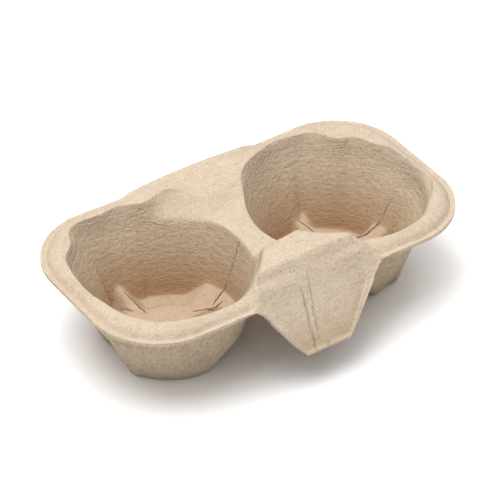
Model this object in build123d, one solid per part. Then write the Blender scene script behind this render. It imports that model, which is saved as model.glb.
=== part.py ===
from build123d import *
import os
from math import atan2, cos, degrees, radians, sin, tan

# Two-cup carrier: one shell of moulded paper pulp, in millimetres.
# X runs along the row of two cups, -Y is the front with the hanging tab, Z is up.
# The row of cups is drawn about X = Y = 0, then moved back so that the origin is on the
# floor under the middle of the whole carrier, tab included.

# ---- driving dimensions ------------------------------------------------------------
wall = 2.0                  # thickness of the pulp everywhere

lip_length = 215.0          # outline of the lip, along X
lip_width = 118.0           # outline of the lip, along Y
lip_corner = 39.5           # corner radius of the lip outline
lip_height = 48.0           # underside of the lip above the floor
lip_flange = 2.2            # flat edge that stands out around the lip
rim_rise = 5.5              # crest of the rim above the underside of the lip

cup_spacing = 98.0          # distance between the two cup centres
mouth_radius = 50.0         # inside radius of a well at the crest
mouth_lean = 8.0            # degrees that the hood's sides lean over a well
crease_radius = 43.5        # inside radius at the crease below the mouth
crease_drop = 6.5           # crease below the crest
bay_count = 8               # shallow bays that scallop each mouth
bay_radius = 15.0           # radius of one bay at its floor
bay_reach = 51.0            # how far a bay's floor reaches from the well's centre
bay_drop = 4.0              # floor of a bay below the crest
bay_lean = 25.0             # degrees that the side of a bay leans
foot_radius = 35.5          # outside radius of the foot ring on the floor
floor_round = 2.5           # inside rounding between wall and floor

arch_rise = 15.0            # height of the arches between the feet, at the wall
core_rise = 5.0             # height of the raised middle where the arches meet
arch_top = 6.0              # width of the ridge along the top of an arch, inside
arch_lean = 36.0            # degrees that the sides of an arch lean
arch_round = 2.0            # rounding along the ridge, inside

saddle_height = lip_height - 1.5   # top of the saddle between the wells
saddle_front = -16.0        # front end of the saddle, where the hood starts to rise
saddle_back = 22.0          # back end of the saddle, where it rises to the deck
saddle_back_run = 13.0      # length of the slope from the saddle up to the deck

hood_height = lip_height + 16.0    # top of the hood at the fold
hood_fold_y = -47.0         # fold between the hood's top and its front slope
hood_back_y = -29.0         # back edge of the hood's top
hood_back_height = hood_height - 2.0   # height of that back edge
hood_top_half = 23.0        # half width of the hood's top
hood_side_half = 39.0       # half width where its shoulders die into the rim

tab_end_y = -73.5           # lower end of the tab
tab_end_height = 19.5       # lower end of the tab above the floor
tab_end_half = 14.5         # half width of the tab's lower end
tab_root_half = 36.0        # half width of the tab at the lip
tab_corner = 3.0            # cut corners of the tab's lower end

crack_width = 0.7           # gap of the cracks in the wells
crack_top = lip_height - 5.0   # upper end of the long crack in each well

crest_height = lip_height + rim_rise
front_slope = atan2(hood_height - tab_end_height, hood_fold_y - tab_end_y)
reach = lip_length          # longer than any cut needs to be


# ---- helpers -----------------------------------------------------------------------
def lip_outline(inset):
    """The outline of the lip, moved in by inset."""
    return RectangleRounded(lip_length - 2 * inset, lip_width - 2 * inset, lip_corner - inset)


def grown(points, amount):
    """A polygon face with every side moved out by amount, and its corners kept sharp."""
    face = make_face(Polyline(*points, close=True))
    if amount == 0:
        return face
    return offset(face, amount=amount, kind=Kind.INTERSECTION)


def side_prism(face, half_width):
    """A prism along X whose side view is the face, drawn as (y, z)."""
    return extrude(Plane.YZ * face, half_width, both=True)


def front_prism(face, half_depth):
    """A prism along Y whose front view is the face, drawn as (x, z)."""
    return extrude(Plane.XZ * face, half_depth, both=True)


def above(height):
    """All the space above a height."""
    return Pos(0, 0, height) * Box(2 * reach, 2 * reach, reach, align=(Align.CENTER, Align.CENTER, Align.MIN))


def front_slope_y(z):
    """Where the hood's front slope, and the tab below it, is at a height."""
    return hood_fold_y - (hood_height - z) / tan(front_slope)


# ---- rim ---------------------------------------------------------------------------
def rim_mass(inset):
    """The rounded rim filled solid: its outer face for inset 0, its inner face for wall."""
    base = lip_height - inset
    outline = Pos(0, 0, base) * lip_outline(lip_flange + inset)
    block = extrude(outline, rim_rise)
    top_edges = block.faces().sort_by(Axis.Z)[-1].edges()
    return fillet(top_edges, rim_rise - 0.5 - inset)


def lip_edge():
    """The thin flat edge around the rim."""
    return extrude(Pos(0, 0, lip_height) * lip_outline(0), wall)


# ---- hood and tab ------------------------------------------------------------------
def hood_mass(inset):
    """The hood filled solid: its side view cut to its front view."""
    base = lip_height - 4 * wall
    tilt = (hood_height - hood_back_height) / (hood_back_y - hood_fold_y)
    side = [
        (0, base),
        (0, hood_height + tilt * hood_fold_y),
        (hood_fold_y, hood_height),
        (front_slope_y(base), base),
    ]
    front = [
        (-hood_side_half, base),
        (-hood_side_half, lip_height + rim_rise / 2),
        (-hood_top_half, hood_height),
        (hood_top_half, hood_height),
        (hood_side_half, lip_height + rim_rise / 2),
        (hood_side_half, base),
    ]
    mass = side_prism(grown(side, -inset), reach) & front_prism(grown(front, -inset), reach)
    return mass & above(lip_height) if inset == 0 else mass


def tab_sheet():
    """The flat tab that carries the front slope down below the lip."""
    top = lip_height + wall
    thick = wall / sin(front_slope)
    side = [
        (front_slope_y(top), top),
        (front_slope_y(tab_end_height), tab_end_height),
        (front_slope_y(tab_end_height) + thick, tab_end_height),
        (front_slope_y(top) + thick, top),
    ]
    spread = (tab_root_half - tab_end_half) / (lip_height - tab_end_height)
    corner_half = tab_end_half + spread * tab_corner
    top_half = tab_end_half + spread * (top - tab_end_height)
    front = [
        (-tab_end_half + tab_corner / 2, tab_end_height),
        (-corner_half, tab_end_height + tab_corner),
        (-top_half, top),
        (top_half, top),
        (corner_half, tab_end_height + tab_corner),
        (tab_end_half - tab_corner / 2, tab_end_height),
    ]
    return side_prism(grown(side, 0), reach) & front_prism(grown(front, 0), reach)


# ---- hollows -----------------------------------------------------------------------
def cup_well(offset_by):
    """One well about its own centre: inside face for 0, outside face for wall."""
    crease_height = crest_height - crease_drop
    lean = atan2(crease_height, crease_radius + wall - foot_radius)
    foot_inside = foot_radius - wall / sin(lean)
    top = hood_height + 4 * wall
    points = [
        (-reach, wall),
        (foot_inside, wall),
        (crease_radius, crease_height),
        (mouth_radius, crest_height),
        (mouth_radius + (top - crest_height) * tan(radians(mouth_lean)), top),
        (-reach, top),
    ]
    half = grown(points, offset_by) & Pos(reach / 2, 0) * Rectangle(reach, 2 * reach)
    well = revolve(Plane.XZ * half, Axis.Z)
    foot_edge = well.edges().filter_by(GeomType.CIRCLE).sort_by(Axis.Z)[0]
    return fillet(foot_edge, floor_round + offset_by)


def mouth_bays(offset_by):
    """The ring of shallow bays that scallops a mouth."""
    floor = crest_height - bay_drop - offset_by
    height = bay_drop + wall + offset_by
    spread = offset_by * (1 - sin(radians(bay_lean))) / cos(radians(bay_lean))
    low_radius = bay_radius + spread
    top_radius = low_radius + height * tan(radians(bay_lean))
    base_up = (Align.CENTER, Align.CENTER, Align.MIN)
    bay = Cone(low_radius, top_radius, height, align=base_up)
    bay = Pos(bay_reach - bay_radius, 0, floor) * bay
    return [Rot(0, 0, (n + 0.5) * 360 / bay_count) * bay for n in range(bay_count)]


def foot_arches(shrink):
    """Four ridges from the raised middle up to the wall, which part the four feet."""
    top = core_rise + wall
    deep = top + arch_rise + 2 * wall
    base_half = arch_top / 2 + deep * tan(radians(arch_lean))
    points = [
        (-base_half, top - deep),
        (-arch_top / 2, top),
        (arch_top / 2, top),
        (base_half, top - deep),
    ]
    ridge = extrude(Plane.XZ * grown(points, -shrink), -mouth_radius)
    long_edges = [edge for edge in ridge.edges().filter_by(Axis.Y) if edge.center().Z > 0]
    ridge = fillet(long_edges, max(arch_round - shrink, 0.3))
    climb = atan2(arch_rise - core_rise, foot_radius)
    ridge = Pos(0, 0, top) * Rot(degrees(climb), 0, 0) * Pos(0, -arch_top / 2, -top) * ridge
    ridges = ridge
    for quarter in range(1, 4):
        ridges = ridges + Rot(0, 0, 90 * quarter) * ridge
    return ridges


def saddle_valley(offset_by):
    """The valley over the saddle, from the hood's back slope to the deck."""
    top = hood_height + 4 * wall
    front_run = (saddle_front - hood_back_y) / (hood_back_height - saddle_height)
    back_run = saddle_back_run / (crest_height - saddle_height)
    rise = top - saddle_height
    points = [
        (saddle_front, saddle_height),
        (saddle_back, saddle_height),
        (saddle_back + back_run * rise, top),
        (saddle_front - front_run * rise, top),
    ]
    return side_prism(grown(points, offset_by), cup_spacing / 2 - crease_radius + 3 * wall)


def hollows(offset_by):
    """Both wells with their feet, and the valley between them."""
    well = cup_well(offset_by) - foot_arches(offset_by)
    for bay in mouth_bays(offset_by):
        well = well + bay
    left = Pos(-cup_spacing / 2, 0, 0) * well
    right = Pos(cup_spacing / 2, 0, 0) * well
    return left + right + saddle_valley(offset_by)


# ---- cracks ------------------------------------------------------------------------
def crack(points, top):
    """A thin upright cut along a plan line given as (radius, angle) about a well."""
    spots = [(r * cos(radians(a)), r * sin(radians(a))) for r, a in points]
    cut = None
    for start, end in zip(spots, spots[1:]):
        length = ((end[0] - start[0]) ** 2 + (end[1] - start[1]) ** 2) ** 0.5
        turn = Rot(0, 0, degrees(atan2(end[1] - start[1], end[0] - start[0])))
        middle = Pos((start[0] + end[0]) / 2, (start[1] + end[1]) / 2, top / 2)
        piece = middle * turn * Box(length + crack_width, crack_width, top + 2)
        cut = piece if cut is None else cut + piece
    return cut


def cracks():
    """The torn lines in the wells: a long one in each right wall, short ones behind."""
    left = Pos(-cup_spacing / 2, 0, 0)
    right = Pos(cup_spacing / 2, 0, 0)
    wall_crack = crack([(42.5, -5), (38.5, 1), (35.5, 4), (30, 7), (26, 3)], crack_top)
    floor_crack = crack([(29, -2), (25, 0), (18, 9), (15, 16)], crack_top / 2)
    back_crack = crack([(34, 114), (29, 113), (22, 116)], crack_top / 2)
    second_crack = crack([(34, 103), (30, 102), (25, 102), (17, 106)], crack_top / 2)
    right_wall = crack([(38, 2), (35.5, 4), (32, 6), (28, 9), (23, 20)], crack_top * 0.7)
    right_back = crack([(34, 83), (28.5, 76), (24, 72)], crack_top / 2)
    return [
        left * wall_crack,
        left * floor_crack,
        left * back_crack,
        left * second_crack,
        right * right_wall,
        right * right_back,
    ]


# ---- the carrier -------------------------------------------------------------------
def carrier():
    outer = rim_mass(0) + hood_mass(0) + lip_edge()
    cap = outer - rim_mass(wall) - hood_mass(wall)
    below = extrude(lip_outline(lip_flange + wall), lip_height + wall)
    lining = hollows(wall) & (outer + below)
    shell = cap + lining + tab_sheet() - hollows(0)
    for cut in cracks():
        shell = shell - cut
    return shell


def centred(part):
    """Move the part back so that the tab's end and the rear lip are equally far from Y = 0."""
    back = lip_width / 2
    return Pos(0, -(tab_end_y + back) / 2, 0) * part


os.makedirs("parts", exist_ok=True)
tray = centred(carrier())
tray.label = "carrier_tray"
print("solids", len(tray.solids()), "volume", round(tray.volume), "box", tray.bounding_box())
export_step(tray, "parts/carrier_tray.step")
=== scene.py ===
# %% [markdown]
# # A moulded-pulp carrier for two cups
# Wet paper fibre is sucked onto a wire former, pressed lightly and dried. The result is one
# thin shell: soft everywhere on the side that was pressed, rough on the side that met the
# wire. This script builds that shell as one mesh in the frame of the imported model, gives it
# its pulp, and sets up a plain pale studio around it.
#
# The frame says where the carrier is and how big it is. The scene is in metres. The shape
# functions take and give millimetres, and the points turn into metres once, when the mesh is
# made.

# %% load the frame
import math
import bmesh
import bpy
import mathutils
import numpy as np
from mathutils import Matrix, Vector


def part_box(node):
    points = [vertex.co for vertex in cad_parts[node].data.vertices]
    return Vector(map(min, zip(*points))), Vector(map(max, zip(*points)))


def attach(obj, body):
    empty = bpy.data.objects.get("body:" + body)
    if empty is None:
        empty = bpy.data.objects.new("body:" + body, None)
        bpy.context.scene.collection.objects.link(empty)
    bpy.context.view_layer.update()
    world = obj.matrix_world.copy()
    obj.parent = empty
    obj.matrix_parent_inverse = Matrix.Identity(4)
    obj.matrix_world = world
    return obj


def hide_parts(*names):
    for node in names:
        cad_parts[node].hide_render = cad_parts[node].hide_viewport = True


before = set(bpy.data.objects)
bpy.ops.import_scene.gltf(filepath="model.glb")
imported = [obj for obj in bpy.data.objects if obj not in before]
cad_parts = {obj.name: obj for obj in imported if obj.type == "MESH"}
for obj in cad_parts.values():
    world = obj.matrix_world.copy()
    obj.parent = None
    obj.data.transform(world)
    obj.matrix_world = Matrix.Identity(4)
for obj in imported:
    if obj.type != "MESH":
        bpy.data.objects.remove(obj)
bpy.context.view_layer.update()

tray_low, tray_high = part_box("carrier_tray")
MM = 0.001
print("carrier box in mm:", [round(v / MM, 1) for v in tray_low], [round(v / MM, 1) for v in tray_high])

# %% [markdown]
# ## The driving sizes
# The length, the hood's height, the tab's end and the rear lip come from the frame's box. The
# rest are the carrier's own sizes: two wells a cup's width apart, a rim, a saddle between the
# wells, and a hood whose front slope runs down into a flat tab. The row of cups is the local
# Y = 0, and `row_y` is where that row lies in the frame.

# %% sizes in millimetres
WALL = 2.0
HALF_LENGTH = tray_high[0] / MM
LIP_WIDTH = 118.0
LIP_CORNER = 39.0
LIP_HEIGHT = 48.0
FLANGE = 2.2
RIM_RISE = 5.5
CREST = LIP_HEIGHT + RIM_RISE

CUP_X = 49.0
FOOT_RADIUS = 34.0
CORE_RISE = 5.0
ARCH_RISE = 15.0

SADDLE_HEIGHT = 46.5
HOOD_HEIGHT = tray_high[2] / MM
HOOD_FOLD_Y = -47.0
TAB_END_HEIGHT = 19.5
TAB_END_HALF = 13.8
TAB_ROOT_HALF = 32.5

row_y = tray_high[1] / MM - LIP_WIDTH / 2
tab_end_y = tray_low[1] / MM - row_y
FRONT_SLOPE = (HOOD_HEIGHT - TAB_END_HEIGHT) / (HOOD_FOLD_Y - tab_end_y)
print("cup row at", round(row_y, 2), "tab ends at", round(tab_end_y, 2), "slope", round(FRONT_SLOPE, 3))

# %% [markdown]
# ## Blending like pulp
# Pulp never makes a knife edge: wherever two faces of the mould meet, the fibre bridges the
# corner. A smooth minimum does the same to two height fields. Where they differ by more than
# `soft` it is the plain minimum, and where they are close it dips below both by up to a
# quarter of `soft`. The smooth maximum is the same thing turned over. Averaging a broken line
# over a short window rounds its corners in the same spirit.

# %% blending helpers
def smooth_min(a, b, soft):
    """min(a, b) - soft/4 * h^2, with h falling from 1 where a = b to 0 where |a - b| = soft."""
    h = np.clip(1 - np.abs(a - b) / soft, 0, 1)
    return np.minimum(a, b) - h * h * soft / 4


def smooth_max(a, b, soft):
    """The smooth minimum turned over: -smooth_min(-a, -b)."""
    return -smooth_min(-a, -b, soft)


def soft_line(x, points, window):
    """A broken line through (x, height) points, averaged over a window to round its corners."""
    xs, heights = zip(*points)
    shifts = np.linspace(-window / 2, window / 2, 9)
    return sum(np.interp(x + shift, xs, heights) for shift in shifts) / len(shifts)


def smooth_step(x, start, end):
    """0 before start, 1 after end, and 3t^2 - 2t^3 between, where t runs from 0 to 1."""
    t = np.clip((x - start) / (end - start), 0, 1)
    return t * t * (3 - 2 * t)


def around(angle, stations, window=9.0):
    """A closed line through (direction in degrees, value) stations, corners rounded by averaging."""
    directions, values = zip(*sorted(stations))
    shifts = np.linspace(-window / 2, window / 2, 7)
    return sum(np.interp(angle + shift, directions, values, period=360) for shift in shifts) / len(shifts)


print("two faces at height 0, blended over 4 mm, meet at", round(float(smooth_min(0.0, 0.0, 4.0)), 2))

# %% [markdown]
# ## Slow unevenness
# Drying pulls the shell about by a few tenths of a millimetre. A handful of sine waves with
# fixed phases gives that slow waviness, the same on every run.

# %% waviness
def waves(x, y, length, seed, count=7):
    """A sum of plane sine waves of about one length in fixed random directions, about -1 to 1."""
    rng = np.random.default_rng(seed)
    total = np.zeros_like(x)
    for _ in range(count):
        heading = rng.uniform(0, 2 * math.pi)
        size = length * rng.uniform(0.7, 1.4)
        phase = rng.uniform(0, 2 * math.pi)
        total += np.sin((x * math.cos(heading) + y * math.sin(heading)) * 2 * math.pi / size + phase)
    return total / count


line_x = np.linspace(-100, 100, 401)
print("a 34 mm wave keeps within", round(float(np.abs(waves(line_x, 0 * line_x, 34, 8)).max()), 2))

# %% [markdown]
# ## The rim
# `inside` is the distance in from the lip's outline, a rectangle with round corners. The
# rim's section depends on it alone: a flat flange a couple of millimetres wide, a shallow
# groove, then a domed band that crests before it reaches the wells. A sweep along the
# outline would draw the same rim, but a height that depends on a distance also answers
# everywhere inside the lip, where the hood and the wells have to meet it.
#
# Behind the wells the band gives way to a strip that slopes down to the rear lip, with a
# shallow groove where it folds up to the deck.

# %% the rim
STRIP_WIDTH = 10.0
STRIP_SLOPE = 0.46
DECK_FOLD = 10.5


def lip_inside(x, y):
    """How far a point lies inside the lip's outline; negative outside it."""
    qx = np.abs(x) - (HALF_LENGTH - LIP_CORNER)
    qy = np.abs(y) - (LIP_WIDTH / 2 - LIP_CORNER)
    outside = np.hypot(np.maximum(qx, 0), np.maximum(qy, 0))
    return LIP_CORNER - outside - np.minimum(np.maximum(qx, qy), 0)


def rim_height(x, y):
    """The rim's section at each point's distance inside the lip, lowered to the strip at the rear."""
    inside = lip_inside(x, y)
    inside = inside + 0.4 * waves(x, y, 60, 3) * smooth_step(inside, 1.5, 5)
    section = [
        (-9, LIP_HEIGHT + 2.1),
        (FLANGE - 0.2, LIP_HEIGHT + 2.1),
        (FLANGE + 0.5, LIP_HEIGHT + 1.1),
        (FLANGE + 1.3, LIP_HEIGHT + 1.8),
        (FLANGE + 3.4, CREST - 1.3),
        (FLANGE + 6.2, CREST + 0.3),
        (FLANGE + 8.5, CREST + 0.7),
        (FLANGE + 12.0, CREST - 0.2),
        (90, CREST - 0.2),
    ]
    dome = soft_line(inside, section, 1.0)
    rear = smooth_step(y, 30, 46) * (1 - smooth_step(np.abs(x), 45, 75))
    groove = 0.7 * np.exp(-((inside - DECK_FOLD) / 1.1) ** 2)
    strip = CREST + 0.4 - np.maximum(STRIP_WIDTH - inside, 0) * STRIP_SLOPE - groove
    return dome + (smooth_min(dome, strip, 0.6) - dome) * rear


across_rim = np.array([1.0, 4.0, 8.0, 12.0])
end_heights = rim_height(across_rim - HALF_LENGTH, 0 * across_rim)
print("rim height", across_rim.tolist(), "mm inside the left end:", end_heights.round(1).tolist())

# %% [markdown]
# ## The hood and the tab
# The hood is the lower of its nearly flat roof and its two shoulders, and a smooth maximum
# melts it into the rim. Then one sloping plane cuts the front of both off, and that same
# plane carries on down below the lip as the tab, so hood and tab share one flat face.
#
# The fold between roof and face is tight. Pressing drew the pulp in just below the fold and
# let it swell again level with the rim, most of all at the two sides, so a dip and a ridge
# run across the face there. The tab's free edges end in a thin hem with a groove inside it.

# %% the hood and the tab
ROOF_FALL = 0.10
SHOULDER_HALF = 28.5
SHOULDER_STEEPNESS = 1.35
FOLD_DIP = 1.9
FOLD_DIP_Y = -49.6
FOLD_RIDGE = 1.6
FOLD_RIDGE_Y = -53.2
HEM_RISE = 1.3
HEM_GROOVE = 0.7


def tab_half_width(y):
    """Half the width of the front slope: widest at the lip, narrower at the fold and at the tab's end."""
    lip_y = -LIP_WIDTH / 2
    stations = [
        (tab_end_y, TAB_END_HALF),
        (lip_y - 1, TAB_ROOT_HALF - 2),
        (lip_y + 6, TAB_ROOT_HALF - 3),
        (HOOD_FOLD_Y, 28.0),
        (0, 28.0),
    ]
    return soft_line(y, stations, 1.5)


def front_plane(y):
    """The height of the one plane that makes the hood's face and the tab: linear in y."""
    return HOOD_HEIGHT - (HOOD_FOLD_Y - y) * FRONT_SLOPE


def tab_hem(x, y):
    """The slight upturned hem that borders the tab below the lip, and the groove inside it."""
    to_side = (tab_half_width(y) - np.abs(x)) * 0.75
    to_end = y - tab_end_y
    from_edge = np.minimum(to_side, to_end)
    hem = HEM_RISE * (1 - smooth_step(from_edge, 0.9, 2.0))
    groove = HEM_GROOVE * np.exp(-((from_edge - 2.7) / 0.9) ** 2)
    return (hem - groove) * (1 - smooth_step(y, -LIP_WIDTH / 2 - 1, -LIP_WIDTH / 2 + 4))


def cap_height(x, y):
    """Rim and hood together, cut off in front by the plane of the tab; no wells yet."""
    roof = HOOD_HEIGHT - 0.3 - ROOF_FALL * (y - HOOD_FOLD_Y) - 0.0016 * x * x
    shoulder = HOOD_HEIGHT - 0.5 - (np.abs(x - 0.5) - SHOULDER_HALF) * SHOULDER_STEEPNESS
    hood = smooth_min(roof, shoulder, 3.0)
    cap = smooth_max(rim_height(x, y), hood, 4.0)
    beside = np.maximum(np.abs(x) - tab_half_width(y), 0)
    front = front_plane(y) + beside * (0.5 + 0.9 * smooth_step(y, -54, -46)) + tab_hem(x, y)
    flank = smooth_step(np.abs(x), 26, 34)
    off_middle = 0.25 + 0.75 * smooth_step(np.abs(x), 4, 18)
    ridge = FOLD_RIDGE * np.exp(-((y - FOLD_RIDGE_Y) / 2.3) ** 2)
    dip = FOLD_DIP * np.exp(-((y - FOLD_DIP_Y) / 1.7) ** 2)
    return smooth_min(cap, front + (ridge - dip) * off_middle, 0.8 + 3.0 * flank)


down_face = np.array([HOOD_FOLD_Y + 5, HOOD_FOLD_Y, -LIP_WIDTH / 2, tab_end_y])
print("height down the face's middle:", cap_height(0 * down_face, down_face).round(1).tolist())

# %% [markdown]
# ## The wells
# A well is a steep wall that rises from the floor to a crease, with a small scooped ledge
# from the crease out to the mouth. Neither the crease nor the mouth is round: both are drawn
# as closed lines through stations round the well, wider where a cup's rim was given room to
# spring past. At the carrier's front corners the wall bellies out towards the corner.
#
# The floor is a low table that turns up where it nears the wall. Four feet are sunk into it,
# each over its own range of directions. What is left of the table between two feet is, seen
# from below, the arch between them.
#
# Stations are (direction in degrees, radius in millimetres), where 0 points to the right and
# 90 to the back. Two lists are measures of something else along the same directions:
# LEFT_DROP says how far the crease lies below the crest, and the bellies run from 0 for a
# straight wall to 1 for the fullest corner.

# %% stations round the wells
LEFT_MOUTH = [
    (-180, 49.5), (-165, 49), (-150, 51), (-132, 52.5), (-110, 51), (-95, 50), (-77, 50),
    (-60, 47.5), (-45, 45.5), (-25, 45.5), (0, 47), (30, 57), (43, 55.5), (56, 54.5),
    (64, 51.5), (69, 46.5), (77, 45.8), (84, 48.5), (92, 50), (103, 49.4), (110, 51.5),
    (120, 56), (126, 55.5), (135, 50.8), (148, 53), (160, 51), (170, 49.8),
]
LEFT_CREASE = [
    (-180, 48.5), (-160, 49), (-145, 50), (-125, 50), (-100, 47.5), (-75, 46.5), (-45, 43.4),
    (-27, 43), (-8, 42), (6, 42), (24, 43), (35, 43), (50, 42.2), (62, 42), (74, 43.4),
    (84, 45.2), (96, 47), (107, 48.6), (119, 54), (132, 49.8), (146, 51), (160, 49.5),
]
LEFT_DROP = [
    (-180, 4), (-60, 4), (-10, 5), (20, 7.5), (40, 9.5), (62, 9.6), (84, 9), (98, 7), (113, 4.6), (150, 4),
]
RIGHT_MOUTH = [
    (-120, 45), (-104, 44.5), (-93, 47.5), (-73, 50.5), (-60, 52.8), (-45, 52), (-35, 53.5),
    (-26, 54.6), (-18, 53), (-6, 49.5), (13, 49.3), (27, 47.8), (36, 49.9), (41, 48.7),
    (49, 44.4), (57, 48.8), (65, 51.5), (75, 49.9), (84, 51.4), (94, 50.3), (109, 48),
    (126, 47.6), (140, 47), (160, 46), (180, 45.5), (-150, 45),
]
RIGHT_CREASE = [
    (-180, 43.4), (-150, 42.8), (-110, 42.6), (-90, 46.0), (-60, 51), (-40, 51.5), (-20, 51.5),
    (0, 48), (27, 46.6), (36, 47.6), (43, 46.4), (49, 43.4), (57, 46.6), (65, 48.6), (84, 49.4),
    (97, 48.2), (109, 46.4), (122, 45.4), (150, 43.6),
]
LEFT_BELLY = [(-180, 0.15), (-158, 0.85), (-130, 0.9), (-105, 0.2), (-80, 0), (100, 0), (150, 0.1)]
RIGHT_BELLY = [(-80, 0), (-55, 0.7), (-25, 0.85), (0, 0.15), (40, 0), (180, 0), (-120, 0)]
# each foot is (first direction, last direction, ramp before, ramp after, inner radius, outer
# radius), with directions turned from the outward end of its own well, positive to the back
LEFT_FEET = [
    (-82, -25, 26, 12, 22, 90),
    (-166, -130, 18, 20, 12, 25),
    (28, 60, 14, 16, 27, 90),
    (94, 132, 18, 26, 20, 90),
]
RIGHT_FEET = [
    (-72, -16, 16, 12, 22, 90),
    (-166, -110, 14, 14, 20, 90),
    (21, 62, 12, 14, 28, 90),
    (96, 146, 12, 16, 22, 90),
]
for well, mouth_line in (("left", LEFT_MOUTH), ("right", RIGHT_MOUTH)):
    reach = [radius for _, radius in mouth_line]
    print(well, "mouth reaches", min(reach), "to", max(reach), "mm from its centre")

# %% [markdown]
# ## From stations to a height
# Each well's height is built from the outside in. Past the mouth it rises so steeply that
# the rim, being lower, wins. Between mouth and crease it is the ledge. Inside the crease it
# is the higher of two walls: the lower one leans out from the floor to the crease, and the
# upper one is nearly upright, which gives the crease its fold. The floor then takes over
# wherever it is higher than the wall.

# %% the height of a well
FLOOR_TURN_UP = 27.0
ARCH_TOP = WALL + ARCH_RISE + 7
UPPER_WALL_STEEPNESS = 7.0
BELLY_STEEPNESS = 2.0


def well_shape(x, y, side):
    """Distance from a well's centre (-1 left, 1 right), direction, and crease and mouth radius there."""
    dx = x - side * CUP_X
    radius = np.hypot(dx, y)
    angle = np.degrees(np.arctan2(y, dx))
    mouth = around(angle, LEFT_MOUTH if side < 0 else RIGHT_MOUTH)
    crease = np.minimum(around(angle, LEFT_CREASE if side < 0 else RIGHT_CREASE), mouth - 1.2)
    return dx, radius, angle, crease, mouth


def foot_radius(angle, side):
    """The wall's radius at the floor, drawn in towards the back and a little in the right well."""
    towards_back = np.clip(np.sin(np.radians(angle)), 0, 1)
    return FOOT_RADIUS - 2.5 * towards_back - (0.0 if side < 0 else 1.5)


def floor_height(radius, turn, side):
    """A low table, turned up near the wall, sunk to the shell's thickness over the four feet."""
    climb = 0.6 + (0.9 if side < 0 else 0.1) * np.exp(-(turn / 24) ** 2)
    turned_up = smooth_max((radius - FLOOR_TURN_UP) * climb, np.zeros_like(radius), 4.0)
    floor = np.minimum(WALL + CORE_RISE + turned_up, ARCH_TOP)
    for first, last, before, after, inner, outer in LEFT_FEET if side < 0 else RIGHT_FEET:
        sector = smooth_step(turn, first - before, first) * (1 - smooth_step(turn, last, last + after))
        depth = sector * smooth_step(radius, inner - 4, inner + 5)
        depth = depth * (1 - smooth_step(radius, outer, outer + 5))
        floor = floor - (floor - WALL) * depth
    return floor


def well_height(x, y, side):
    """The height of one well's inner side: floor, wall, crease and ledge, rising steeply past the mouth."""
    dx, radius, angle, crease, mouth = well_shape(x, y, side)
    turn = np.degrees(np.arctan2(y, side * dx))
    foot = foot_radius(angle, side)
    if side < 0:
        crease_height = CREST - around(angle, LEFT_DROP)
    else:
        crease_height = CREST - 3.4 - 0.38 * (mouth - crease)
    steep = (crease_height - WALL) / (crease - foot)
    belly = around(angle, LEFT_BELLY if side < 0 else RIGHT_BELLY)
    lower = WALL + (radius - foot) * (steep + (BELLY_STEEPNESS - steep) * belly)
    upper = crease_height + (radius - crease) * UPPER_WALL_STEEPNESS
    wall = smooth_max(lower, upper, 4.0)
    ledge = crease_height + (radius - crease) * (CREST - crease_height) / (mouth - crease)
    beyond = CREST + (radius - mouth) * 5.0
    shelf = smooth_max(ledge, beyond, 1.0)
    side_height = np.where(radius > mouth, shelf, smooth_min(wall, shelf, 3.0))
    floor = floor_height(radius, turn, side)
    return smooth_max(floor, side_height, 3.4)


out_from_centre = np.array([0.0, 20.0, 34.0, 42.0])
for side in (-1, 1):
    heights = well_height(side * (CUP_X + out_from_centre), 0 * out_from_centre, side)
    print("well", side, "height outwards from its centre:", heights.round(1).tolist())

# %% [markdown]
# ## The saddle and the deck
# Between the wells the shell dips to a narrow saddle. Its front end climbs the hood's back.
# Its rear end climbs a riser to the deck, a flat that leans forward a little from a fold just
# in front of the rear rim.

# %% the saddle and the whole top skin
def saddle_height(x, y):
    """A line of heights from the hood back to the deck, a little askew and higher towards the wells."""
    skew = 0.10 * x
    line = [
        (-48, HOOD_HEIGHT + 30),
        (-29.5, HOOD_HEIGHT - 1),
        (-17, SADDLE_HEIGHT + 0.3),
        (-8, SADDLE_HEIGHT),
        (24, SADDLE_HEIGHT),
        (34.0, CREST - 1.9),
        (48.5, CREST + 0.2),
        (60, CREST + 9),
    ]
    return soft_line(y - skew, line, 1.6) + 0.004 * x * x


def top_skin(x, y):
    """Height of the upper side of the shell: rim and hood, cut by the saddle and the two wells."""
    cap = cap_height(x, y)
    left = well_height(x, y, -1)
    right = well_height(x, y, 1)
    top = smooth_min(cap, saddle_height(x, y), 0.9)
    brow = 0.8 + 5.0 * (1 - smooth_step(y, -20, 18))
    top = smooth_min(top, smooth_min(left, right, 2.0), brow)
    return top + 0.14 * waves(x, y, 34, 8) + 0.07 * waves(x, y, 11, 5)


back_along_middle = np.array([-55.0, -40.0, 0.0, 30.0, 45.0, 57.0])
middle_heights = top_skin(0 * back_along_middle, back_along_middle)
print("height back along the middle:", middle_heights.round(1).tolist())

# %% [markdown]
# ## A grid that follows the shape
# Each half of the carrier is a fan of rays from its cup's centre out to the half's own edge:
# the lip, the tab, or the plane between the two cups. Rings are spread along each ray so
# that most of them fall on the steep wall, where the skin climbs quickly. Rays that end on
# the middle plane are mirrored in the other half, so the two halves meet point for point.
#
# EDGE_INSET keeps the shell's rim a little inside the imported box. A ray's end on the lip is
# found by bisection, which needs only lip_inside, and its end on the tab by crossing it with
# each straight piece of the tab's outline.

# %% the plan outline
EDGE_INSET = 0.4


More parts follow.
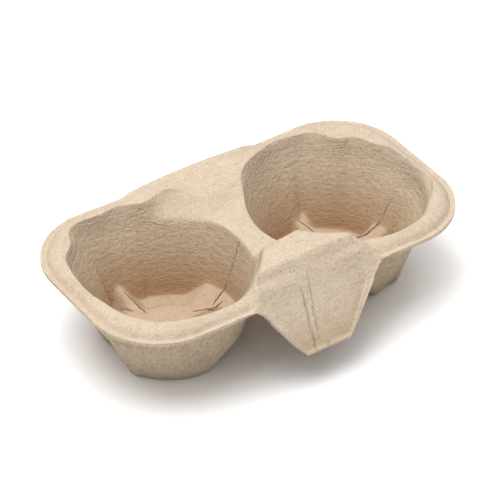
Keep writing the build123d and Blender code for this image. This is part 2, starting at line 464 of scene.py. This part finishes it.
def tab_polygon():
    """The tab's outline in plan, on the left half, from the lip to the middle plane."""
    lip_y = -LIP_WIDTH / 2
    end_y = tab_end_y + EDGE_INSET
    return [
        (-TAB_ROOT_HALF - 7.0, lip_y + EDGE_INSET + 0.2),
        (-TAB_ROOT_HALF - 3.0, lip_y - 0.4),
        (-TAB_ROOT_HALF - 0.2, lip_y - 1.6),
        (-TAB_ROOT_HALF + 1.9, lip_y - 3.6),
        (-TAB_END_HALF - 1.2, end_y + 0.9),
        (-TAB_END_HALF + 0.6, end_y),
        (0, end_y),
        (0, lip_y + 12),
    ]


def ray_to_lip(angle):
    """Distance from the left cup's centre to the lip's outline along a direction, by bisection."""
    near = np.zeros_like(angle)
    far = np.full_like(angle, 120.0)
    for _ in range(40):
        middle = (near + far) / 2
        x = -CUP_X + middle * np.cos(angle)
        y = middle * np.sin(angle)
        inside = lip_inside(x, y) > EDGE_INSET
        near = np.where(inside, middle, near)
        far = np.where(inside, far, middle)
    return near


def ray_to_segments(angle, points):
    """Distance along each direction to a chain of segments, zero where it misses them all."""
    reach = np.zeros_like(angle)
    for (x0, y0), (x1, y1) in zip(points, points[1:]):
        ax, ay, bx, by = x0 + CUP_X, y0, x1 - x0, y1 - y0
        cross = np.cos(angle) * by - np.sin(angle) * bx
        cross = np.where(np.abs(cross) < 1e-9, 1e-9, cross)
        far = (ax * by - ay * bx) / cross
        along = (ax * np.sin(angle) - ay * np.cos(angle)) / cross
        hit = (far > 0) & (along >= -1e-6) & (along <= 1 + 1e-6)
        reach = np.where(hit, np.maximum(reach, far), reach)
    return reach


tab_points = tab_polygon()
print("tab outline in plan:", [(round(x, 1), round(y, 1)) for x, y in tab_points])

# %% [markdown]
# The rays stand closer together towards the tab, where there is more to draw. The ray
# nearest to each corner of the outline is turned to pass exactly through it, because a
# corner that falls between two rays would be cut off.

# %% rays round one cup
RAYS = 232
TAB_DIRECTION = math.radians(-62)


def crowded_angles(start):
    """RAYS directions round the circle, about twice as close together towards the tab."""
    fine = np.linspace(0, 2 * math.pi, 3601)
    away = (fine + start - TAB_DIRECTION + math.pi) % (2 * math.pi) - math.pi
    density = 1 + 1.3 * np.exp(-(away / math.radians(34)) ** 2)
    share = np.concatenate([[0], np.cumsum((density[1:] + density[:-1]) / 2)])
    return start + np.interp(np.arange(RAYS) / RAYS, share / share[-1], fine)


tab_corner_angles = [math.atan2(y, x + CUP_X) for x, y in tab_points]
deck_angle = math.atan2(LIP_WIDTH / 2 - EDGE_INSET, CUP_X)
angles = crowded_angles(tab_corner_angles[-2])
for corner_angle in tab_corner_angles[:-2] + [deck_angle]:
    gap = (angles - corner_angle + math.pi) % (2 * math.pi) - math.pi
    nearest = np.argmin(np.abs(gap))
    angles[nearest] = angles[nearest] - gap[nearest]

to_lip = ray_to_lip(angles)
to_tab = ray_to_segments(angles, tab_points)
edge = np.maximum(to_lip, to_tab)
to_middle = np.where(np.cos(angles) > 1e-6, CUP_X / np.maximum(np.cos(angles), 1e-6), 1e9)
meets_middle = to_middle <= edge + 1e-4
edge = np.minimum(edge, to_middle)
print("rays", RAYS, "ending on the middle plane", int(meets_middle.sum()), "longest", round(edge.max(), 1))

# %% [markdown]
# Rings are set by four stations on each ray: the edge of the floor, the crease, just past the
# mouth, and the outer edge. Between stations they are spread evenly, apart from the last
# stretch, where they crowd towards the edge to draw the flange.

# %% rings along each ray
FLOOR_RINGS = 13
WALL_RINGS = 42
LEDGE_RINGS = 18
RIM_RINGS = 26
FLOOR_EDGE = 22.0


def shares(count):
    """Evenly spaced shares of a stretch, from 0 up to but not including 1."""
    return np.linspace(0, 1, count, endpoint=False)


def ring_radii(side):
    """Radii for every ring (rows) and ray (columns) of one half, in millimetres."""
    turn = angles if side < 0 else math.pi - angles
    x = side * CUP_X + 10 * np.cos(turn)
    y = 10 * np.sin(turn)
    _, _, _, crease, mouth = well_shape(x, y, side)
    floor_edge = np.full(RAYS, FLOOR_EDGE)
    past_mouth = np.minimum(mouth + 2.2, crease + 0.62 * (edge - crease))
    rows = [floor_edge * t for t in shares(FLOOR_RINGS)[1:]]
    rows += [floor_edge + (crease - 0.8 - floor_edge) * t for t in shares(WALL_RINGS)]
    rows += [crease - 0.8 + (past_mouth - crease + 0.8) * t for t in shares(LEDGE_RINGS)]
    rows += [past_mouth + (edge - past_mouth) * (1 - (1 - t) ** 1.25) for t in np.linspace(0, 1, RIM_RINGS)]
    return np.array(rows)


def plan_points(side):
    """Plan x and y of every grid point of one half; the ring nearest the centre comes first."""
    radii = ring_radii(side)
    turn = angles if side < 0 else math.pi - angles
    x = side * CUP_X + radii * np.cos(turn)
    y = radii * np.sin(turn)
    x[-1, meets_middle] = 0.0
    y[-1, meets_middle] = (np.tan(angles) * CUP_X)[meets_middle]
    return x, y


grid_shape = plan_points(-1)[0].shape
print("each half has", grid_shape[0], "rings of", grid_shape[1], "points")

# %% [markdown]
# ## From a height field to a shell
# The underside is the upper side moved down along its own normal by the pulp's thickness. A
# height field's normal is (-dh/dx, -dh/dy, 1), scaled to one, with the slopes measured over a
# short step. Measuring them from the height function, and not from the mesh, gives both
# halves the same normal along the middle plane.

# %% upper and lower skins
STEP = 0.35


def skins(x, y):
    """Points of the upper and lower skin over plan points, as two arrays in millimetres."""
    height = top_skin(x, y)
    slope_x = (top_skin(x + STEP, y) - top_skin(x - STEP, y)) / (2 * STEP)
    slope_y = (top_skin(x, y + STEP) - top_skin(x, y - STEP)) / (2 * STEP)
    normal = np.stack([-slope_x, -slope_y, np.ones_like(x)], axis=-1)
    normal /= np.linalg.norm(normal, axis=-1, keepdims=True)
    upper = np.stack([x, y, height], axis=-1)
    lower = upper - WALL * normal
    lower[..., 2] = np.maximum(lower[..., 2], 0.0)
    return upper, lower


top_point, under_point = skins(np.array([-CUP_X]), np.array([0.0]))
print("floor thickness at the left centre", round(float(top_point[0, 2] - under_point[0, 2]), 2), "mm")

# %% [markdown]
# ## Faces for one half
# Ring by ray the points form a table, so a face is four neighbours in it, and shifting the
# whole index table by one ray gives all the faces at once. The lower skin takes its corners
# in the other order, so that its normals point down, and a strip joins the two skins along
# the outer edge wherever that edge isn't the middle plane. The right half is a mirror image:
# there every face's corners are reversed.

# %% one half of the shell
def half_shell(side, first):
    """Points and lists of faces of one half; first is the index its points start from."""
    x, y = plan_points(side)
    upper, lower = skins(x, y)
    centre_up, centre_down = skins(np.array([side * CUP_X]), np.array([0.0]))
    rings, rays = x.shape
    points = np.concatenate([upper.reshape(-1, 3), lower.reshape(-1, 3), centre_up, centre_down])
    index = np.arange(rings * rays).reshape(rings, rays) + first
    under = index + rings * rays
    top_centre = first + 2 * rings * rays
    next_ray = np.roll(index, -1, axis=1)
    next_under = np.roll(under, -1, axis=1)
    quads_up = np.stack([index[:-1], index[1:], next_ray[1:], next_ray[:-1]], axis=-1)
    quads_down = np.stack([under[:-1], next_under[:-1], next_under[1:], under[1:]], axis=-1)
    free = ~(meets_middle & np.roll(meets_middle, -1))
    rim = np.stack([index[-1], under[-1], next_under[-1], next_ray[-1]], axis=-1)[free]
    fan_up = np.stack([np.full(rays, top_centre), index[0], next_ray[0]], axis=-1)
    fan_down = np.stack([np.full(rays, top_centre + 1), next_under[0], under[0]], axis=-1)
    blocks = [quads_up.reshape(-1, 4), quads_down.reshape(-1, 4), rim, fan_up, fan_down]
    if side > 0:
        blocks = [block[:, ::-1] for block in blocks]
    return points, blocks


def lean_tab(points):
    """Pushes the tab a little left at its end and right at its root, as handled pulp leans."""
    x, y = points[:, 0], points[:, 1]
    leans = [(tab_end_y, -1.4), (-LIP_WIDTH / 2, 3.4), (HOOD_FOLD_Y - 3, 1.2), (-36, 0)]
    push = soft_line(y, leans, 3.0)
    near = 1 - np.clip((np.abs(x) - 38) / 20, 0, 1)
    points[:, 0] = x + push * near * near * (3 - 2 * near)
    return points


def build_shell():
    """Both halves as one object, moved from the row of cups into the frame, in metres."""
    left_points, left_blocks = half_shell(-1, 0)
    right_points, right_blocks = half_shell(1, len(left_points))
    points = lean_tab(np.concatenate([left_points, right_points]))
    points[:, 1] += row_y
    faces = []
    for block in left_blocks + right_blocks:
        faces += block.tolist()
    mesh = bpy.data.meshes.new("pulp_shell")
    mesh.from_pydata((points * MM).tolist(), [], faces)
    mesh.update()
    shell = bpy.data.objects.new("pulp_shell", mesh)
    bpy.context.scene.collection.objects.link(shell)
    return shell


shell = build_shell()
print("points", len(shell.data.vertices), "faces", len(shell.data.polygons))

# %% [markdown]
# The two halves were made apart, so the points along the middle plane are still double.
# Merging by distance joins them into one closed skin. Only the points of an open edge take
# part, because elsewhere two points may lie close together and still have to stay apart.

# %% join the halves
def odd_edges(work):
    """How many edges don't have exactly two faces: none on a closed skin that never touches itself."""
    return sum(1 for edge in work.edges if len(edge.link_faces) != 2)


def merge_halves(obj):
    """Joins the doubled points of the seam and turns every normal outward."""
    work = bmesh.new()
    work.from_mesh(obj.data)
    seam = [point for point in work.verts if point.is_boundary]
    bmesh.ops.remove_doubles(work, verts=seam, dist=0.02 * MM)
    bmesh.ops.recalc_face_normals(work, faces=work.faces)
    print("odd edges", odd_edges(work), "volume mm3", round(work.calc_volume() / MM ** 3))
    work.to_mesh(obj.data)
    work.free()
    obj.data.shade_smooth()


merge_halves(shell)

# %% [markdown]
# ## Cracks
# Cups have split the floor of each well where it turns up into the wall, and one split in
# each well climbs the wall. A crack is drawn as a line of stations round its well. It is cut
# into steps shorter than a millimetre, each pushed a little sideways so that the line is
# jagged, and given a width that fades to nothing at both ends. Raised into a thin upright
# wall, it becomes a cutter: a boolean takes it out of the shell, so the slit goes right
# through the pulp as a real one does.
#
# Dark lines painted on the floor would be quicker, but a cut has depth and two lips that
# catch the light from any side.

# %% the cracks as lines
# each crack is (side, top height in mm, widest gap in mm, stations as (radius, direction))
CRACKS = [
    (-1, 45, 1.00, [
        (43.2, -6), (41.2, -1.3), (38.9, 1.2), (37, 4.3), (34.6, 7), (30, 5.5), (26.5, 3),
    ]),
    (-1, 16, 1.10, [(31.8, -1.6), (28.5, -1.2), (25.3, -0.8), (22, 4), (18.4, 9.2), (15.6, 14.7)]),
    (-1, 16, 0.95, [(33.4, 113.7), (31, 113.4), (29.2, 113), (26, 114), (22.3, 115.5)]),
    (-1, 17, 1.10, [(34, 103), (30.5, 102), (27, 101.6), (25.4, 102), (21, 103.5), (16.3, 106)]),
    (1, 34, 1.35, [
        (42.4, 0.5), (39.6, 2.6), (36.4, 5), (33, 7), (29, 8.6), (26, 13), (23.3, 19.4), (22, 30),
    ]),
    (1, 17, 0.70, [(33.3, 82.7), (31, 79.8), (28.5, 76.5), (25.5, 72.6), (23.5, 70)]),
]
CRACK_STEP = 0.8
CRACK_JAG = 0.22
BLADE_BOTTOM = -4.0


def jagged_line(side, stations, seed):
    """Plan points of one crack, CRACK_STEP apart or closer, pushed off line at random."""
    rng = np.random.default_rng(seed)
    corners = [
        (side * CUP_X + r * math.cos(math.radians(d)), r * math.sin(math.radians(d)))
        for r, d in stations
    ]
    corners = np.array(corners)
    lengths = np.concatenate([[0], np.cumsum(np.linalg.norm(np.diff(corners, axis=0), axis=1))])
    along = np.linspace(0, lengths[-1], int(lengths[-1] / CRACK_STEP) + 2)
    x = np.interp(along, lengths, corners[:, 0])
    y = np.interp(along, lengths, corners[:, 1])
    sideways = np.stack([-np.gradient(y), np.gradient(x)], axis=1)
    sideways /= np.linalg.norm(sideways, axis=1, keepdims=True)
    push = rng.uniform(-CRACK_JAG, CRACK_JAG, len(along))
    line = np.stack([x, y], axis=1) + sideways * push[:, None]
    return line, sideways, along / lengths[-1]


for side, top, gap, stations in CRACKS:
    steps = len(jagged_line(side, stations, 0)[0])
    print("left" if side < 0 else "right", "crack, gap", gap, "mm, in", steps, "points, up to", top, "mm")

# %% the blades that cut them
def crack_cutter(number, crack):
    """One closed upright blade along a crack, as points and faces in millimetres.

    Half the gap grows as the 0.45th power of sin(pi * share of the length), so it opens
    quickly near an end and stays wide between, and every step varies it a little.
    """
    side, top, gap, stations = crack
    line, sideways, share = jagged_line(side, stations, 100 + number)
    rng = np.random.default_rng(200 + number)
    opening = np.clip(np.sin(share * math.pi), 0, 1) ** 0.45
    half = gap / 2 * opening * rng.uniform(0.75, 1.2, len(share)) + 0.03
    left = line + sideways * half[:, None]
    right = line - sideways * half[:, None]
    outline = np.concatenate([left, right[::-1]])
    count = len(outline)
    low = np.column_stack([outline, np.full(count, BLADE_BOTTOM)])
    high = np.column_stack([outline, np.full(count, float(top))])
    steps = len(left)
    faces = []
    for i in range(steps - 1):
        faces.append((i, i + 1, count - 2 - i, count - 1 - i))
        faces.append((count + count - 1 - i, count + count - 2 - i, count + i + 1, count + i))
    for i in range(count):
        following = (i + 1) % count
        faces.append((following, i, count + i, count + following))
    return np.concatenate([low, high]), faces


def make_blades():
    """All the blades as one closed object, placed in the frame in metres."""
    work = bmesh.new()
    for number, crack in enumerate(CRACKS):
        points, faces = crack_cutter(number, crack)
        points[:, 1] += row_y
        corners = [work.verts.new(point) for point in (points * MM).tolist()]
        for face in faces:
            work.faces.new([corners[i] for i in face])
    bmesh.ops.recalc_face_normals(work, faces=work.faces)
    mesh = bpy.data.meshes.new("crack_blades")
    work.to_mesh(mesh)
    work.free()
    blades = bpy.data.objects.new("crack_blades", mesh)
    bpy.context.scene.collection.objects.link(blades)
    return blades


blades = make_blades()
print("blades have", len(blades.data.polygons), "faces")

# %% [markdown]
# A blade that grazes a skin can leave flakes: pairs of faces that lie back to back and hold
# nothing between them. They are found by their corners, which are the same for both, and
# deleted. The points that this frees are then joined.
#
# The boolean runs as a modifier, and the evaluated mesh takes the place of the plain one.
# Angles sharper than SHARP_ANGLE stay sharp, so the lips of the cracks don't shade as if
# they were round.

# %% cut the cracks
SHARP_ANGLE = math.radians(55)


def drop_flakes(mesh):
    """Deletes the faces that a cut left lying back to back, then closes the seams they leave."""
    work = bmesh.new()
    work.from_mesh(mesh)
    bmesh.ops.triangulate(work, faces=[face for face in work.faces if len(face.verts) > 4])
    twins = {}
    for face in work.faces:
        corners = frozenset(tuple(round(c, 7) for c in vert.co) for vert in face.verts)
        twins.setdefault(corners, []).append(face)
    flakes = [face for pair in twins.values() if len(pair) > 1 for face in pair]
    bmesh.ops.delete(work, geom=flakes, context="FACES")
    seam = [point for point in work.verts if point.is_boundary]
    bmesh.ops.remove_doubles(work, verts=seam, dist=0.0002 * MM)
    print("flakes", len(flakes), "odd edges", odd_edges(work))
    work.to_mesh(mesh)
    work.free()


def cut_cracks(obj, cutter):
    """Takes the cutter out of the object and keeps the result as the object's own mesh."""
    modifier = obj.modifiers.new("cracks", "BOOLEAN")
    modifier.operation = "DIFFERENCE"
    modifier.solver = "MANIFOLD"
    modifier.object = cutter
    evaluated = obj.evaluated_get(bpy.context.evaluated_depsgraph_get())
    cracked = bpy.data.meshes.new_from_object(evaluated)
    obj.modifiers.clear()
    drop_flakes(cracked)
    obj.data = cracked
    obj.data.materials.clear()
    obj.data.polygons.foreach_set("material_index", [0] * len(obj.data.polygons))
    bpy.data.objects.remove(cutter)
    obj.data.shade_smooth()
    obj.data.set_sharp_from_angle(angle=SHARP_ANGLE)
    obj.data.calc_loop_triangles()
    print("after cracks: points", len(obj.data.vertices), "triangles", len(obj.data.loop_triangles))


cut_cracks(shell, blades)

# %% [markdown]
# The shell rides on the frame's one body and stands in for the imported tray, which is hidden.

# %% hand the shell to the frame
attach(shell, "root")
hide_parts("carrier_tray")
corners = np.empty(len(shell.data.vertices) * 3)
shell.data.vertices.foreach_get("co", corners)
corners = corners.reshape(-1, 3) / MM
print("shell from", corners.min(axis=0).round(1).tolist(), "to", corners.max(axis=0).round(1).tolist())

# %% [markdown]
# ## Pulp as a material
# Dried pulp is matt: a rough surface with a weak highlight. What makes it pulp is its pattern
# of mixed fibres, specks and a nap. All of it is procedural, so it has no seams.

# %% material helpers
def linear(hex_colour):
    """sRGB hex to linear red, green, blue and alpha."""
    parts = [int(hex_colour[i:i + 2], 16) / 255 for i in (1, 3, 5)]
    return [p / 12.92 if p <= 0.04045 else ((p + 0.055) / 1.055) ** 2.4 for p in parts] + [1.0]


def new_material(name):
    """An empty node material."""
    material = bpy.data.materials.new(name)
    material.use_nodes = True
    material.node_tree.nodes.clear()
    return material


def add_node(owner, kind, settings=None, inputs=None, links=None):
    """Adds a node to a material or world, sets properties and sockets, links {socket: source}."""
    node = owner.node_tree.nodes.new(kind)
    for key, value in (settings or {}).items():
        setattr(node, key, value)
    for key, value in (inputs or {}).items():
        node.inputs[key].default_value = value
    for key, source in (links or {}).items():
        owner.node_tree.links.new(source, node.inputs[key])
    return node


pulp = new_material("moulded_recycled_paper_pulp")
print("sRGB #CDBBA4 in linear light:", [round(part, 3) for part in linear("#CDBBA4")[:3]])

# %% [markdown]
# Noise, Voronoi and mapping nodes all read Object coordinates. The object sits at the origin
# in metres, so a noise scale of 1000 gives features about a millimetre across. The helpers
# take sizes in millimetres.
#
# `facing` is the Z of the surface's own normal: 1 on top, 0 on an upright wall, below 0 where
# the shell faces down. It tells the pressed side from the wire side everywhere.

# %% pattern helpers
place = add_node(pulp, "ShaderNodeTexCoord").outputs["Object"]
normal = add_node(pulp, "ShaderNodeNewGeometry").outputs["True Normal"]
facing = add_node(pulp, "ShaderNodeSeparateXYZ", links={"Vector": normal}).outputs["Z"]
along_x, along_y, height_up = add_node(pulp, "ShaderNodeSeparateXYZ", links={"Vector": place}).outputs


def grain(size_mm, stretch=(1, 1, 1), detail=3.0, rough=0.55, warp=0.0):
    """One noise pattern whose features are about size_mm across, from 0 to 1."""
    scaled = add_node(pulp, "ShaderNodeMapping", inputs={"Scale": stretch}, links={"Vector": place})
    values = {"Scale": 1.0 / (size_mm * MM), "Detail": detail, "Roughness": rough, "Distortion": warp}
    noise = add_node(pulp, "ShaderNodeTexNoise", inputs=values, links={"Vector": scaled.outputs["Vector"]})
    return noise.outputs["Fac"]


def remap(value, from_low, from_high, to_low=0.0, to_high=1.0):
    """Stretches a range of a pattern to another range and holds it there."""
    inputs = {"From Min": from_low, "From Max": from_high, "To Min": to_low, "To Max": to_high}
    return add_node(pulp, "ShaderNodeMapRange", inputs=inputs, links={"Value": value}).outputs["Result"]


def calculate(operation, a, b):
    """One math node; a and b are either sockets or plain numbers."""
    node = add_node(pulp, "ShaderNodeMath", {"operation": operation})
    for socket, value in zip(node.inputs, (a, b)):
        if isinstance(value, (int, float)):
            socket.default_value = value
        else:
            pulp.node_tree.links.new(value, socket)
    return node.outputs["Value"]


def product(a, b):
    """The product of two values, which lets one pattern mask another."""
    return calculate("MULTIPLY", a, b)


def tint(amount, below, above):
    """Mixes colour above over colour below by the amount; either colour is hex or a socket."""
    node = add_node(pulp, "ShaderNodeMix", {"data_type": "RGBA"}, links={0: amount})
    for socket, colour in ((node.inputs[6], below), (node.inputs[7], above)):
        if isinstance(colour, str):
            socket.default_value = linear(colour)
        else:
            pulp.node_tree.links.new(colour, socket)
    return node.outputs[2]


def specks(size_mm, radius, stretch=(1, 1, 1), share=0.5):
    """Dots no wider than a cell of size_mm: 1 inside the dot of a chosen share of the cells."""
    scaled = add_node(pulp, "ShaderNodeMapping", inputs={"Scale": stretch}, links={"Vector": place})
    cells = add_node(
        pulp, "ShaderNodeTexVoronoi", inputs={"Scale": 1.0 / (size_mm * MM)},
        links={"Vector": scaled.outputs["Vector"]},
    )
    dot = remap(cells.outputs["Distance"], radius, radius * 0.5)
    pick = add_node(pulp, "ShaderNodeSeparateColor", links={"Color": cells.outputs["Color"]}).outputs["Red"]
    return product(dot, remap(pick, share + 0.02, share))

# %% [markdown]
# ## The pulp's colour
# Recycled pulp is a warm grey-brown made of many papers. Three noises at very different sizes
# mottle it: clouds a few centimetres wide, flocks of a few millimetres, and the fibres
# themselves. Dark bark specks, ink-grey specks and brown shreds are scattered through it.
# Deep in the wells the colour is painted browner and darker, as painted shade. The wire side,
# which faces down or out, is painted paler, as painted light thrown back up by the floor, and
# its pits and streaks are painted darker, as painted shade in its hollows.

# %% colour
wire_side = remap(facing, 0.03, -0.03)
steepness = remap(facing, 0.80, 0.45)
inner_wall = product(steepness, remap(facing, 0.02, 0.10))
cloudy = tint(remap(grain(28.0), 0.35, 0.65), "#CDBBA4", "#D7C7B0")
flocked = tint(remap(grain(3.2, detail=4.0), 0.36, 0.64, 0.0, 0.55), cloudy, "#E0D2BE")
fibred = tint(remap(grain(0.75, detail=3.0, rough=0.7), 0.40, 0.66, 0.0, 0.60), flocked, "#B1977A")
pale = tint(remap(grain(0.9, (1.0, 1.6, 1.0), detail=2.0), 0.60, 0.72, 0.0, 0.45), fibred, "#ECE1D0")
barked = tint(product(specks(2.6, 0.16, share=0.55), 0.75), pale, "#8A6A48")
inked = tint(product(specks(4.4, 0.11, share=0.40), 0.80), barked, "#6E6660")
shreds = specks(3.3, 0.20, (1.0, 0.35, 0.6), share=0.35)
shredded = tint(product(shreds, 0.5), inked, "#B98F5C")
# painted shade: upward faces in the wells darken to brown towards the wells' floors
upper_side = product(remap(facing, 0.02, 0.10), remap(steepness, 0.0, 1.0, 0.45, 1.0))
well_shade_depth = product(upper_side, remap(height_up, 0.038, 0.008))
painted_well_shade = tint(product(well_shade_depth, 0.80), shredded, "#A27E58")
# painted light: faces that look down or out are tinted paler, standing in for light bounced up from the floor
outer = tint(product(wire_side, 0.70), painted_well_shade, "#EAD7BB")
pits = grain(1.3, (1.0, 1.0, 0.9), detail=4.0, rough=0.7)
streaks = grain(2.4, (1.4, 1.4, 0.6), detail=4.0, rough=0.65, warp=0.8)
# painted shade: the wire side's pits and streaks are painted darker, as shade in its hollows
painted_pit_shade = remap(calculate("ADD", pits, streaks), 1.10, 0.70, 0.0, 0.70)
colour = tint(product(wire_side, painted_pit_shade), outer, "#A98B66")
layers = sum(node.type == "MIX" for node in pulp.node_tree.nodes)
print("the colour is mixed from", layers, "layers")

# %% [markdown]
# ## The pulp's relief
# Everywhere there is a fine nap of fibres. The steep inner walls carry ripples: the pulp
# sagged a little on the former, so they are wider than they are tall. The wire side is pitted
# and streaked. Each is a noise, and a bump node tilts the normals by its slope; the distances
# are the real heights in metres. Two creases run down the tab, where it bent while it dried,
# each a leaning line that a slow noise shifts a little.

# %% relief
COARSE_RELIEF = 0.9 * MM
FINE_RELIEF = 0.34 * MM

nap = grain(0.9, detail=4.0, rough=0.65)
ripple = grain(4.2, (1.0, 1.0, 1.9), detail=3.0, rough=0.55, warp=0.4)
wander = product(calculate("SUBTRACT", grain(9.0, detail=2.0), 0.5), 3.0 * MM)


def dried_crease(x_at_lip, lean, first_y, last_y, half_width):
    """A thin line down the tab, x = x_at_lip + lean * (y - lip), that wanders a little."""
    straight = product(calculate("SUBTRACT", along_y, (row_y - LIP_WIDTH / 2) * MM), lean)
    off = calculate("SUBTRACT", calculate("SUBTRACT", along_x, straight), x_at_lip * MM)
    distance = calculate("ABSOLUTE", calculate("ADD", off, wander), 0.0)
    line = remap(distance, half_width * MM, 0.0)
    start = remap(along_y, (row_y + first_y) * MM, (row_y + first_y - 3) * MM)
    end = remap(along_y, (row_y + last_y) * MM, (row_y + last_y + 3) * MM)
    return product(line, product(start, end))


left_crease = dried_crease(-6.9, 0.10, -54, -76, 0.8)
right_crease = dried_crease(-2.2, 0.20, -51, -72, 1.3)
creases = product(calculate("ADD", left_crease, right_crease), 0.75)
rippled = product(ripple, calculate("ADD", product(inner_wall, 0.9), 0.12))
pitted = product(calculate("ADD", pits, streaks), product(wire_side, 1.9))
print("relief in mm: coarse", round(COARSE_RELIEF / MM, 2), "fine", round(FINE_RELIEF / MM, 2))

# %% surface
coarse = add_node(
    pulp, "ShaderNodeBump", inputs={"Strength": 1.0, "Distance": COARSE_RELIEF},
    links={"Height": calculate("SUBTRACT", calculate("ADD", rippled, pitted), creases)},
)
fine = add_node(
    pulp, "ShaderNodeBump", inputs={"Strength": 1.0, "Distance": FINE_RELIEF},
    links={"Height": nap, "Normal": coarse.outputs["Normal"]},
)
body = add_node(
    pulp, "ShaderNodeBsdfPrincipled", inputs={"Roughness": 0.93, "Specular IOR Level": 0.18},
    links={"Base Color": colour, "Normal": fine.outputs["Normal"]},
)
add_node(pulp, "ShaderNodeOutputMaterial", links={"Surface": body.outputs["BSDF"]})
shell.data.materials.append(pulp)
print("the pulp has", len(pulp.node_tree.nodes), "nodes")

# %% [markdown]
# ## The studio floor
# The carrier stands on a large sheet of rough, nearly white paper, which takes its soft
# shadow. Further out the paper glows a little, as if more lamps burnt it out to plain white.
# The glow grows with the distance, counted in an ellipse as long and as wide as the carrier,
# and only camera rays see it, so it lights nothing.

# %% floor
FLOOR_HALF = 3.0
GLOW_START = 0.82
GLOW_FULL = 1.5
GLOW_STRENGTH = 0.40


def make_paper():
    """White paper whose glow rises from 0 to its full strength between two distances."""
    paper = new_material("studio_floor_paper")
    point = add_node(paper, "ShaderNodeTexCoord").outputs["Object"]
    squeeze = (1 / tray_high[0], 1 / tray_high[1], 0)
    spread = add_node(paper, "ShaderNodeMapping", inputs={"Scale": squeeze}, links={"Vector": point})
    away = add_node(
        paper, "ShaderNodeVectorMath", {"operation": "LENGTH"}, links={0: spread.outputs["Vector"]}
    )
    rise = {"From Min": GLOW_START, "From Max": GLOW_FULL, "To Min": 0.0, "To Max": GLOW_STRENGTH}
    glow = add_node(paper, "ShaderNodeMapRange", inputs=rise, links={"Value": away.outputs["Value"]})
    seen = add_node(
        paper, "ShaderNodeMath", {"operation": "MULTIPLY"},
        links={0: glow.outputs["Result"], 1: add_node(paper, "ShaderNodeLightPath").outputs["Is Camera Ray"]},
    )
    lift = add_node(paper, "ShaderNodeEmission", links={"Strength": seen.outputs["Value"]})
    matt = add_node(
        paper, "ShaderNodeBsdfPrincipled",
        inputs={"Base Color": linear("#FBFAFA"), "Roughness": 0.9, "Specular IOR Level": 0.0},
    )
    both = add_node(
        paper, "ShaderNodeAddShader", links={0: matt.outputs["BSDF"], 1: lift.outputs["Emission"]}
    )
    add_node(paper, "ShaderNodeOutputMaterial", links={"Surface": both.outputs["Shader"]})
    return paper


def make_floor():
    """One square of paper under the carrier, wide enough to fill the view."""
    corners = [(-1, -1), (1, -1), (1, 1), (-1, 1)]
    mesh = bpy.data.meshes.new("studio_floor")
    mesh.from_pydata([(x * FLOOR_HALF, y * FLOOR_HALF, 0) for x, y in corners], [], [(0, 1, 2, 3)])
    mesh.materials.append(make_paper())
    floor = bpy.data.objects.new("studio_floor", mesh)
    bpy.context.scene.collection.objects.link(floor)
    return floor


floor = make_floor()
print("floor", 2 * FLOOR_HALF, "m square")

# %% [markdown]
# ## The light
# Much of the light is a white ceiling: the world's strength follows the Z of a direction,
# from nearly dark at the horizon to full overhead. Wells lit from above grow darker towards
# their floors by themselves. Camera rays meet plain white, so the background stays white.
#
# One wide soft box to the left, almost overhead, gives the shadow its direction.

# %% ceiling light
CEILING = {"From Min": 0.25, "From Max": 0.90, "To Min": 0.10, "To Max": 1.25}


def make_ceiling():
    """A white world, brighter towards the top and plain white to the camera."""
    world = bpy.data.worlds.new("studio_air")
    world.use_nodes = True
    sky = world.node_tree.nodes["Background"]
    sky.inputs["Color"].default_value = (1, 1, 1, 1)
    direction = add_node(world, "ShaderNodeTexCoord").outputs["Generated"]
    level = add_node(world, "ShaderNodeSeparateXYZ", links={"Vector": direction}).outputs["Z"]
    strength = add_node(world, "ShaderNodeMapRange", inputs=CEILING, links={"Value": level})
    switch = add_node(world, "ShaderNodeLightPath").outputs["Is Camera Ray"]
    either = add_node(
        world, "ShaderNodeMath", {"operation": "MAXIMUM"},
        links={0: switch, 1: strength.outputs["Result"]},
    )
    world.node_tree.links.new(either.outputs["Value"], sky.inputs["Strength"])
    return world


bpy.context.scene.world = make_ceiling()
print("ceiling strength from", CEILING["To Min"], "to", CEILING["To Max"])


# %% soft box
def soft_box(name, position, target, size, power):
    """A square area lamp of a size in metres and a power in watts, turned to face its target."""
    light = bpy.data.lights.new(name, "AREA")
    light.size = size
    light.energy = power
    lamp = bpy.data.objects.new(name, light)
    lamp.location = position
    towards = mathutils.Vector(target) - mathutils.Vector(position)
    lamp.rotation_euler = towards.to_track_quat("-Z", "Y").to_euler()
    bpy.context.scene.collection.objects.link(lamp)
    return lamp


key = soft_box("overhead_light", (-0.38, 0.02, 1.4), (0, 0, 0.03), 1.0, 12.5)
print(key.name, "at", [round(value, 2) for value in key.location])

# %% [markdown]
# ## The camera
# It stands off the front left corner and looks down on the carrier, far enough away that the
# two cups look nearly the same size. The lens follows from how wide a strip of the scene the
# frame has to hold at that distance: lens / sensor = distance / width.

# %% camera
VIEW_TURN = math.radians(34.2)
VIEW_DROP = math.radians(38.1)
DISTANCE = 1.7
VIEW_WIDTH = 0.2611
AIM_RISE = 0.0277
SENSOR = 36.0


def make_camera():
    """A camera DISTANCE from the cup row's middle, turned from +Y to +X and tipped down."""
    turn_x, turn_y = math.sin(VIEW_TURN), math.cos(VIEW_TURN)
    level, drop = math.cos(VIEW_DROP), math.sin(VIEW_DROP)
    ahead = mathutils.Vector((turn_x * level, turn_y * level, -drop))
    up = mathutils.Vector((turn_x * drop, turn_y * drop, level))
    aim = mathutils.Vector((0, row_y * MM, 0)) + up * AIM_RISE
    data = bpy.data.cameras.new("studio_camera")
    data.sensor_width = SENSOR
    data.lens = SENSOR * DISTANCE / VIEW_WIDTH
    camera = bpy.data.objects.new("studio_camera", data)
    camera.location = aim - ahead * DISTANCE
    camera.rotation_euler = ahead.to_track_quat("-Z", "Y").to_euler()
    bpy.context.scene.collection.objects.link(camera)
    return camera


camera = make_camera()
bpy.context.scene.camera = camera
bpy.context.scene.view_settings.view_transform = "Standard"
print("lens", round(camera.data.lens, 1), "mm")
